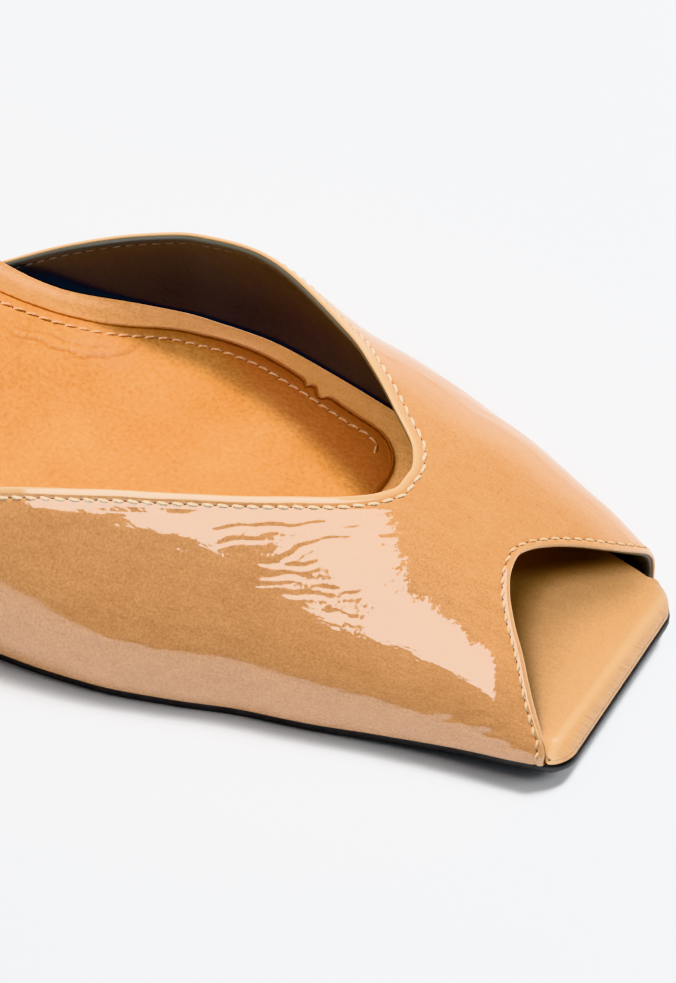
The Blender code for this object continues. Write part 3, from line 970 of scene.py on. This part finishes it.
def make_sock():
    """Smooth leather sock: padded, trodden in, grooved along its stitches and torn at one edge."""
    def relief(back, side, points):
        inside = sock_inside(back, side)
        row = inside - SOCK_STITCH_INSET - sock_spread(back) * (side > 0)
        pressed = (((back - 105.5) / 5.0) ** 2 + ((side - 21.5) / 3.0) ** 2) ** 2
        low = 0.42 * np.exp(-np.maximum(inside, 0) / 3.0) + 0.12 * bell(row, 0.0, 0.4)
        ripple = 0.05 * field_noise(points, 9.0, 11) + 0.02 * field_noise(points, 3.5, 12)
        ripple += sock_creases(back, side) + 0.12 * np.exp(-pressed)
        return (ripple + footprint(back, side) - low) * rise(inside, -0.48, 0.8)

    plan = (SOCK_FRONT - 0.4, SOCK_REAR, SOCK_CORNER, lambda back: column(INSETS, 2, back) - 0.3)
    piece = flat_piece(
        "sock_pad", plan, lambda back: sock_face(back) - SOCK, lambda back: SOCK,
        ((0.15, -0.5), (0.0, 0.0), (0.0, 0.62), (0.05, 0.80), (0.14, 0.92), (0.3, 0.98), (0.5, 1.0)),
        SOCK_LEATHER, "sock", relief, across=160, step=0.7, notch=sock_notch,
    )
    back, side = last_measures(piece)
    inside = np.maximum(sock_inside(back, side), 0)
    strip = SOCK_STITCH_INSET + sock_spread(back) * (side > 0) + 0.3
    # painted shade: the strip outside the stitches darker where it slopes down to the edge, most in front of
    # the arch
    add_layer(piece, "edge", fall(inside / strip, 1.2, 1.0) * np.maximum(fall(back, 112.0, 20.0), 0.35))
    # darker along the troughs of the wrinkles
    add_layer(piece, "trough_darkening", np.clip(-7.0 * sock_creases(back, side), 0.0, 1.0))
    # painted shadow: redder and darker where the far wing shades the sock, up to that shadow's edge
    add_layer(piece, "cast_shadow_tint", rise(side - 0.393 * (back - 52.6), 13.9, 4.0) * fall(back, 98.0, 16.0))
    pad = ((back - 104.8) / 6.0) ** 2 + ((side - 21.4) / 3.6) ** 2
    add_layer(piece, "pressed", np.exp(-(pad**1.6)))


def make_outsole():
    """Sole with a painted edge, rounded along its top and bottom."""
    flat_piece(
        "outsole_edge", (0.0, LENGTH, TOE_CORNER, lambda back: SOLE_INSET), sole_height,
        lambda back: OUTSOLE - toe_wrap(back),
        ((0.45, 0.0), (0.12, 0.08), (0.0, 0.25), (0.0, 0.75), (0.1, 0.93), (0.35, 1.0)),
        EDGE_PAINT, "outsole",
    )


# ---------------------------------------------------------------- heel and top piece
SHARP = math.radians(50)             # faces that meet at more than this keep a sharp edge


def heel_ring(height, length_scale, width_scale, inward=0.0):
    """Outline of the heel at one level; its height may be a function of the distance back."""
    outline = (HEEL_BREAST, LENGTH - 1.0, BREAST_CORNER, lambda back: 1.0)
    back, side = (border(values) for values in plan_grid(*outline, inward, step=2.0))
    back = HEEL_AXIS + (back - HEEL_AXIS) * length_scale
    return place(back, side * width_scale, height(back) if callable(height) else height)


def make_heel():
    """Patent-covered block between the top piece and the sole."""
    low = TOP_PIECE + GAP
    rings = []
    for share in np.linspace(0, 1, 26):
        scales = [column(HEEL_LEVELS, c, share) for c in (1, 2)]
        rings.append(heel_ring(lambda back: low + (sole_height(back) - GAP - low) * share, *scales))
    loft("heel_cover", rings, HEEL_PATENT, "heel", soften=0.35)


def make_top_piece():
    """Rubber heel tip with rounded edges."""
    levels = ((0.5, 0.0), (0.12, 0.12), (0.0, 0.4), (0.0, TOP_PIECE - 0.3), (0.25, TOP_PIECE))
    rings = [heel_ring(height, *HEEL_LEVELS[0][1:], inward) for inward, height in levels]
    loft("top_lift", rings, RUBBER, "top_piece")


def loft(name, rings, material, part, soften=0.0):
    """Closed solid through rings that all have the same number of points."""
    points = np.concatenate(rings)
    # the rings run the other way round than a tube's
    *sides, low_end, high_end = tube_faces(len(rings), len(rings[0]))
    faces = [side[:1] + side[:0:-1] for side in sides] + [low_end, high_end]
    piece = mesh_piece(name, points, faces, material, part, points[:, [0, 2]] + points[:, [1]] * (1.0, 0.0))
    if soften:
        bevel = piece.modifiers.new("soft_edges", "BEVEL")
        bevel.width = soften * MM
        bevel.segments = 3
        bevel.limit_method = "ANGLE"
        bevel.angle_limit = SHARP
    piece.data.set_sharp_from_angle(angle=SHARP)


# ---------------------------------------------------------------- sling strap
LINING_SIDE = range(28, 41)          # of the points of the strap's section


def strap_frames(steps_each=10):
    """Centres, directions across and outwards, and widths along the strap."""
    lateral = [(back, height, -side, *rest) for back, height, side, _, *rest in SLING]
    medial = [(back, height, side, *rest) for back, height, _, side, *rest in SLING]
    rows = [(i, *row) for i, row in enumerate(lateral + medial[-2::-1])]
    at = np.linspace(0, len(rows) - 1, steps_each * (len(rows) - 1) + 1)
    back, height, side, lean, tip, width = (column(rows, c, at) for c in range(1, 7))
    centres = place(back, side, height)
    along = np.gradient(centres, axis=0)
    lean, tip = np.radians(lean), np.radians(tip)
    towards_leg = -np.clip(side / 20.0, -1, 1)
    across = unit(np.stack([np.sin(lean), np.sin(tip) * towards_leg, np.cos(lean)], axis=-1))
    return centres, across, unit(np.cross(across, along)), width


def strap_relief(distance):
    """Relief of the strap's face: swollen beside its edge, pulled in along the stitching."""
    return 0.08 * bell(distance, 1.3, 0.6) - 0.14 * bell(distance, STRAP_INSET, 0.3)


def strap_loop(wide):
    """Section of the strap, half its width given: its face, an edge, the lining side, the other edge."""
    half = STRAP_WALL / 2
    marks = np.array([2.9, 2.55, 2.35, 2.15, 1.9, 1.5, 0.9])
    face = [*(marks[::-1] - wide), *np.linspace(3.4 - wide, wide - 3.4, 9), *(wide - marks)]
    bend = [
        (wide - STRAP_RIM + STRAP_RIM * math.sin(turn), half - STRAP_RIM + STRAP_RIM * math.cos(turn))
        for turn in (math.radians(angle) for angle in (0, 22, 45, 68, 90))
    ]
    bend += [(wide, STRAP_RIM - half), (wide - 0.2, 0.25 - half), (wide - 0.8, -half)]
    loop = [(a, half + strap_relief(wide - abs(a))) for a in face] + bend
    loop += [(a, -half) for a in np.linspace(wide - 1.6, 1.6 - wide, 9)]
    return np.array(loop + [(-a, out) for a, out in bend[::-1]])


def make_sling():
    """Strap: patent outside and round its edges, dark lining inside."""
    rings, uvs = [], []
    for i, (centre, across, outward, width) in enumerate(zip(*strap_frames())):
        loop = strap_loop(width / 2)
        rings.append(centre + loop[:, :1] * across + loop[:, 1:] * outward)
        uvs.append(np.stack([np.full(len(loop), 2.0 * i), 0.5 * np.arange(1, len(loop) + 1)], axis=-1))
    count = len(rings[0])
    piece = mesh_piece(
        "sling_band", np.concatenate(rings), tube_faces(len(rings), count), STRAP_PATENT, "sling_strap",
        np.concatenate(uvs),
    )
    piece.data.materials.append(LINING)
    for polygon in piece.data.polygons:
        if len(polygon.vertices) == 4 and all(v % count in LINING_SIDE for v in polygon.vertices):
            polygon.material_index = 1


# ---------------------------------------------------------------- stitching
def resample(path, pitch):
    """Places every "pitch" along a path: indices as fractions of its points."""
    lengths = np.concatenate([[0], np.cumsum(np.linalg.norm(np.diff(path, axis=0), axis=1))])
    count = max(2, int(round(lengths[-1] / pitch)))
    at = (np.arange(count) + 0.5) * lengths[-1] / count
    return np.interp(at, lengths, np.arange(len(path)))


def along_path(values, at):
    """Values between the points of a path."""
    low = np.clip(np.floor(at).astype(int), 0, len(values) - 2)
    t = (at - low)[:, None]
    return values[low] * (1 - t) + values[low + 1] * t


def stitch_row(name, path, normals, thread_look, hole_shade_look, part):
    """Row of stitches: each a plump thread that dives into its holes at both ends."""
    pitch, length, thick, slant, lift = STITCHES[name]
    at = resample(path, pitch)
    centres, ups = along_path(path, at), unit(along_path(normals, at))
    ways = unit(along_path(np.gradient(path, axis=0), at))
    ways = unit(ways - ups * (ways * ups).sum(-1, keepdims=True))
    turn = math.radians(slant)
    wobble = np.array([noise.noise(Vector((i * 0.73, pitch, thick))) for i in range(len(at))])
    points, faces = [], []
    rings, around = 9, 8
    rounds = [2 * math.pi * k / around for k in range(around)]
    for c, u, w, jitter in zip(centres, ups, ways, wobble):
        angle = turn + 0.10 * jitter
        way = w * math.cos(angle) + np.cross(u, w) * math.sin(angle)
        over = np.cross(u, way)
        faces += tube_faces(rings, around, len(points))
        for x in np.linspace(-1, 1, rings):
            radius = thick / 2 * math.sqrt(1.0 - 0.86 * abs(x) ** 2.6)
            arch = lift - (0.55 * thick + lift) * abs(x) ** 3.0
            middle = c + way * (x * length / 2) + u * arch
            points += [middle + over * radius * math.cos(a) + u * radius * 0.9 * math.sin(a) for a in rounds]
    mesh_piece(name, points, faces, thread_look, part, stands_for=False)
    # painted shade: dark caps over the needle's holes, between the stitches
    between = (at[:-1] + at[1:]) / 2
    centres, ups = along_path(path, between), unit(along_path(normals, between))
    ways = unit(along_path(np.gradient(path, axis=0), between))
    wide, tall = max(0.20, 0.62 * (pitch - 0.86 * length)), 0.52 * thick
    points, faces = [], []
    for c, u, w in zip(centres, ups, ways):
        s = np.cross(u, w)
        w, s = w * math.cos(turn) + s * math.sin(turn), s * math.cos(turn) - w * math.sin(turn)
        *sides, _, floor = tube_faces(2, around, len(points))
        faces += sides + [floor]
        for size, height in ((1.0, -0.05), (0.6, 0.02)):
            points += [
                c + u * height + (w * wide * math.cos(a) + s * tall * math.sin(a)) * size for a in rounds
            ]
    mesh_piece(name + "_holes", points, faces, hole_shade_look, part, stands_for=False)


def edge_row(edge, around, inset):
    """Row beside a cut edge of the skin: points, normals, lift by wear, and how far it is drawn in."""
    edges = toe, toe_rate, top, top_rate = cut_edges(around, 10)
    back = toe + toe_rate * inset if edge == 1 else top - top_rate * inset
    points, normals = upper_point(back, around), upper_normal(back, around)
    return points, normals, wear_lift(back, around, points, edges), drawn_in(back, around, edges)


def upper_stitching():
    """Rows along the throat and the toe opening, and the one inside that holds the lining."""
    around = np.linspace(-0.985, 0.985, 900)
    points, normals, lift, drawn = edge_row(2, around, THROAT_INSET)
    path = points + normals * (lift + drawn - 0.13)[:, None]
    stitch_row("throat_stitches", path, normals, THREAD, HOLE_SHADE, "upper")
    points, normals, lift, drawn = edge_row(2, around, LINING_INSET)
    path = points - normals * (WALL - 0.10 - drawn)[:, None]
    stitch_row("lining_stitches", path, -normals, DARK_THREAD, LINING_HOLE_SHADE, "upper")
    points, normals, lift, drawn = edge_row(1, np.linspace(-0.97, 0.97, 600), TOE_INSET)
    path = points + normals * (lift - 0.13)[:, None]
    stitch_row("toe_stitches", path, normals, TOE_THREAD, HOLE_SHADE, "upper")


def sock_stitching():
    """Row round the sock, from the medial side of its front round the heel and back."""
    stops = np.concatenate([
        np.linspace(57.0, HEEL_CENTRE, 700), HEEL_CENTRE + 21.0 * np.sin(np.linspace(0, 1.5, 200))
    ])

    def line(side):
        wide = feather_width(stops, side) - column(INSETS, 2, stops) - SOCK_STITCH_INSET
        wide = wide - corner_cut(stops, SOCK_FRONT + SOCK_STITCH_INSET, SOCK_CORNER - SOCK_STITCH_INSET)
        return side * wide * rear_share(stops, SOCK_REAR - SOCK_STITCH_INSET)

    medial = line(MEDIAL)
    # the last stitch of the row hooks inwards
    hook = 1 - np.linspace(0.0, 1.0, 12)[:-1]
    back = np.concatenate([stops[0] + 0.9 * hook**2 - 0.9 * hook, stops, stops[::-1]])
    side = np.concatenate([medial[0] - 1.7 * hook, medial, line(LATERAL)[::-1]])
    steps = np.linspace(0, LENGTH, 1025)
    tilt = np.interp(back, steps, np.gradient(sole_height(steps), steps[1]))
    normals = unit(np.stack([tilt, 0 * tilt, np.ones_like(tilt)], axis=-1))
    path = place(back, side, sock_face(back) + 0.02) + normals * (footprint(back, side) - 0.28)[:, None]
    stitch_row("sock_stitches", path, normals, SOCK_THREAD, SOCK_HOLE_SHADE, "sock")


def strap_stitching():
    """Row along each edge of the strap."""
    centres, across, outward, width = strap_frames(30)
    for name, sign in (("strap_stitches_upper", 1), ("strap_stitches_lower", -1)):
        path = centres + across * (sign * (width / 2 - STRAP_INSET))[:, None]
        stitch_row(name, path + outward * (STRAP_WALL / 2 - 0.08), outward, THREAD, HOLE_SHADE, "sling_strap")


# ---------------------------------------------------------------- the studio
def overhead(name, across, deep, high, power, lit=None):
    """Level rectangle of light between two sides and two depths, in metres, for all or for some pieces."""
    data = bpy.data.lights.new(name, "AREA")
    data.shape = "RECTANGLE"
    data.size, data.size_y = across[1] - across[0], deep[1] - deep[0]
    data.energy = power
    lamp = bpy.data.objects.new(name, data)
    lamp.location = (sum(across) / 2, sum(deep) / 2, high)
    if lit:
        lamp.light_linking.receiver_collection = lit
        lamp.visible_glossy = False
    bpy.context.scene.collection.objects.link(lamp)
    return lamp


def map_range(tree, value, source, target):
    """Smooth step of a world's value from one range to another."""
    made = tree.nodes.new("ShaderNodeMapRange")
    made.interpolation_type = "SMOOTHSTEP"
    tree.links.new(value, made.inputs["Value"])
    for socket, number in zip(("From Min", "From Max", "To Min", "To Max"), source + target):
        made.inputs[socket].default_value = number
    return made.outputs["Result"]


def lights(floor):
    """Card for the gloss, softbox for the shoe, and lamps that each light some pieces."""
    shoe, within, sock, rest, paper = (
        bpy.data.collections.new(name) for name in ("shoe", "within", "sock", "rest", "paper")
    )
    for piece in bpy.context.scene.collection.all_objects:
        if piece.type == "MESH" and piece != floor:
            shoe.objects.link(piece)
            inner = piece.name in ("footbed_wrap", "upper_lining")
            (within if inner else sock if piece.name.startswith("sock") else rest).objects.link(piece)
    paper.objects.link(floor)
    # a long card, seen only in the gloss: its right and near edges outline the bright patch
    overhead("card", (-0.45, 0.37), (-1.79, 0.235), 1.0, 20.0).visible_diffuse = False
    overhead("softbox", (-1.1, 0.2), (-1.4, 0.4), 1.1, 20.0, shoe)
    # one lamp each for the footbed with the lining, the sock and the rest of the shoe; and for the paper a
    # high key behind the toe and a low lamp that reaches in under its spring
    aimed = (
        # name, sides, depths, height, power, what it lights
        ("near", (0.04, 0.38), (-0.79, -0.45), 1.07, 10.5, within),
        ("rear", (-0.435, -0.235), (0.33, 0.53), 1.07, 19.0, sock),
        ("side", (-0.105, 0.195), (0.27, 0.57), 1.23, 16.0, rest),
        ("key", (0.15, 0.55), (0.35, 0.75), 1.13, 21.0, paper),
        ("front", (0.9, 1.5), (-0.1, 0.5), 1.0, 8.5, paper),
    )
    for settings in aimed:
        lamp = overhead(*settings)
        lamp.rotation_euler = Vector(lamp.location).to_track_quat("Z", "Y").to_euler()
    # the low lamp would stand in the picture of other views
    lamp.visible_camera = False


def paper_floor():
    """Plain pale floor."""
    mesh = bpy.data.meshes.new("floor")
    mesh.from_pydata([(-4, -4, 0), (4, -4, 0), (4, 4, 0), (-4, 4, 0)], [], [(0, 1, 2, 3)])
    floor = bpy.data.objects.new("floor", mesh)
    bpy.context.scene.collection.objects.link(floor)
    n = Nodes("floor_paper")
    stops = ((0.3, (0.86, 0.87, 0.885, 1)), (0.7, (0.865, 0.875, 0.89, 1)))
    n.link(n.ramp(n.noise(n.place("Object"), 60.0, 2.0), stops), "Base Color")
    n.set(Roughness=1.0, Specular_IOR_Level=0.0)
    mesh.materials.append(n.material)
    return floor


def air():
    """World whose glow stands behind the shoe, above the paper, and fades upwards."""
    world = bpy.data.worlds.new("studio_air")
    world.use_nodes = True
    tree = world.node_tree
    sky = tree.nodes["Background"]
    sky.inputs["Color"].default_value = (0.96, 0.98, 1.0, 1)
    way = tree.nodes.new("ShaderNodeTexCoord")
    parts = tree.nodes.new("ShaderNodeSeparateXYZ")
    tree.links.new(way.outputs["Generated"], parts.inputs[0])
    both = tree.nodes.new("ShaderNodeMath")
    both.operation = "MULTIPLY"
    glow = map_range(tree, parts.outputs["Z"], (0.08, 0.85), (1.0, 0.0))
    behind = map_range(tree, parts.outputs["Y"], (-0.1, 0.5), (0.0, 1.0))
    tree.links.new(glow, both.inputs[0])
    tree.links.new(behind, both.inputs[1])
    tree.links.new(map_range(tree, both.outputs[0], (0.0, 1.0), (0.18, 1.25)), sky.inputs["Strength"])
    scene = bpy.context.scene
    scene.world = world
    scene.view_settings.view_transform = "Khronos PBR Neutral"
    scene.view_settings.look = "None"
    scene.view_settings.exposure = 0.0


def camera():
    """Long lens in front of the lateral side, looking down at the shoe's front half."""
    azimuth, elevation, distance = math.radians(29), math.radians(45), 1.2
    aim = Vector((0.07427, 0.00559, 0.0150))
    back = Vector((
        math.sin(azimuth) * math.cos(elevation), -math.cos(azimuth) * math.cos(elevation), math.sin(elevation)
    ))
    data = bpy.data.cameras.new("camera")
    data.sensor_width, data.lens = 36.0, 285.65
    data.clip_start, data.clip_end = 0.05, 30.0
    eye = bpy.data.objects.new("camera", data)
    eye.location = aim + back * distance
    eye.rotation_euler = (-back).to_track_quat("-Z", "Y").to_euler()
    bpy.context.scene.collection.objects.link(eye)
    bpy.context.scene.camera = eye


# ---------------------------------------------------------------- the materials in use, and the making
# painted highlight along the rolled edges of the upper and the footbed; the footbed's band and deep tints are
# painted shade beside the sock and under the vamp
PATENT = patent("upper_patent", tone=1.03, fold_highlights=True)
WRAP = patent(
    "footbed_patent", 0.4, 1.06, 0.4, 0.2, fold_highlights=True,
    tints=(("band", 0.5, (158, 102, 54)), ("deep", 0.8, (104, 42, 34))),
)
HEEL_PATENT = patent("heel_patent", 0.5, 1.03)
STRAP_PATENT = patent("strap_patent", 0.5, 1.03)
# the rim tint is a painted highlight along the lining's top edge
LINING = smooth_leather(
    "dark_lining", (31, 39, 50), (38, 48, 61), 0.5, 0.42,
    (("collar", 0.7, (50, 50, 46)), ("rim_highlight", 0.55, (112, 108, 92))),
)
# painted shadow: a redder, darker tint where the far wing shades the sock; painted shade on the strip sloping
# down to its edge; darker along the wrinkles' troughs
SOCK_LEATHER = smooth_leather(
    "sock_leather", (182, 112, 50), (219, 154, 87), 0.75, 0.48,
    (
        ("cast_shadow_tint", 0.5, (198, 96, 52)), ("edge", 0.5, (168, 88, 42)), ("pressed", 0.35, (206, 150, 108)),
        ("trough_darkening", 0.55, (146, 84, 42)),
    ),
    depth=0.11, flecks=0.55,
)
EDGE_PAINT = plain("sole_edge_paint", (60, 59, 60), 0.34, 1.8, 0.9, 0.05, (38, 37, 38), (0.3, 0.75))
RUBBER = plain("lift_rubber", (34, 32, 32), 0.6, 1.2, 0.6, 0.04)
THREAD = thread("cream_thread", (214, 188, 152), (242, 220, 188))
DARK_THREAD = thread("dark_thread", (84, 82, 84), (132, 130, 130))
TOE_THREAD = thread("toe_thread", (206, 172, 128), (230, 200, 158))
SOCK_THREAD = thread("sock_thread", (218, 158, 108), (240, 188, 142))
# painted shade: dark caps where the thread dives into its holes
HOLE_SHADE = plain("stitch_holes", (126, 84, 50), 0.7)
LINING_HOLE_SHADE = plain("lining_holes", (18, 14, 12), 0.7)
SOCK_HOLE_SHADE = plain("sock_holes", (104, 50, 22), 0.7)

make_upper_skin()
make_upper_lining()
make_footbed()
make_sock()
make_outsole()
make_heel()
make_top_piece()
make_sling()
upper_stitching()
sock_stitching()
strap_stitching()
lights(paper_floor())
air()
camera()
